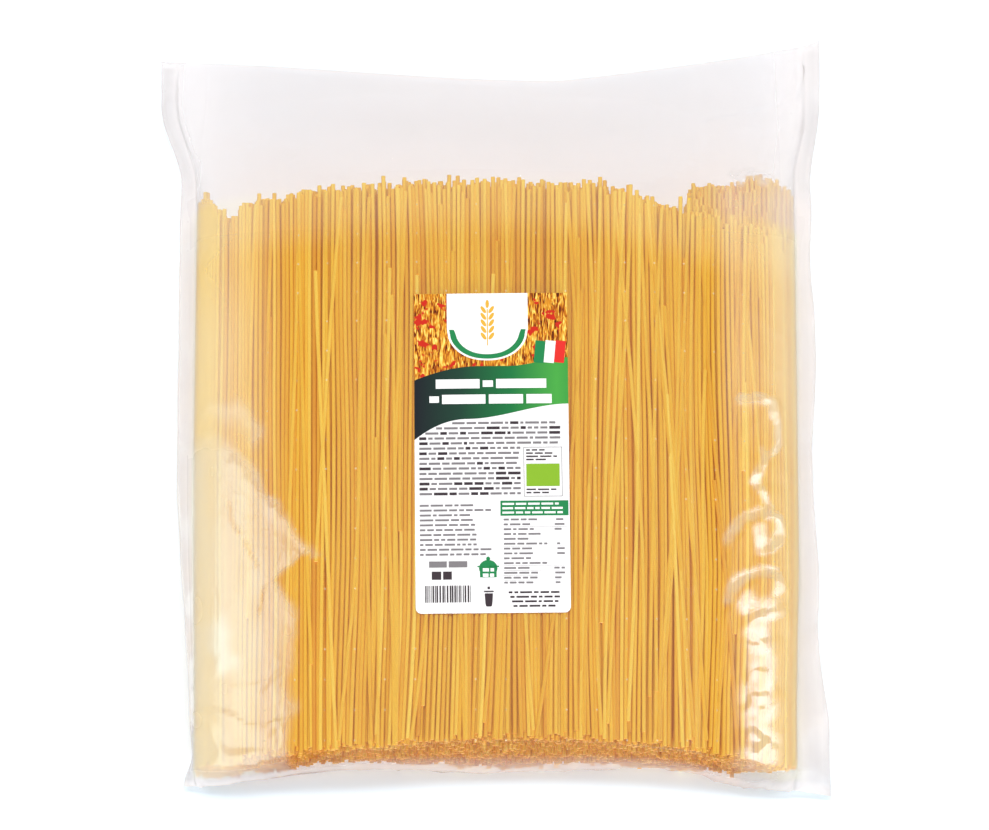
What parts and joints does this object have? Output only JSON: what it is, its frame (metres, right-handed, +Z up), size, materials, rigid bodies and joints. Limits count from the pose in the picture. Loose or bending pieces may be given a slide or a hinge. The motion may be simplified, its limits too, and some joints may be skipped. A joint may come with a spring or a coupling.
{
  "type": "pasta packet",
  "caption": "Catering bag of spaghetti: long straight strands packed side by side in a clear sealed film bag with an empty head, with a paper label on its front.",
  "frame": {"origin": "bottom centre of the bag's bounding box, on the surface it lies on", "axes": "+X across the bag to the right as its label is read, +Y along the strands towards the empty head of the bag, +Z up out of the labelled front"},
  "size_m": [0.312, 0.3546, 0.0728],
  "materials": {
    "spaghetti_in_film": "glossy clear film over straw-yellow pasta",
    "label_paper": "semi-gloss white paper with a green band, fields of colour and grey bars",
    "clear_film": "thin clear film, glossy, with creases and small air holes",
    "spaghetti": "dry durum pasta, smooth and slightly translucent, with browner cut ends",
    "label_print": "offset print: a green band, fields of colour and grey bars"
  },
  "bodies": {
    "root": {"bag": "spaghetti_in_film", "label": "label_paper"}
  },
  "joints": []
}
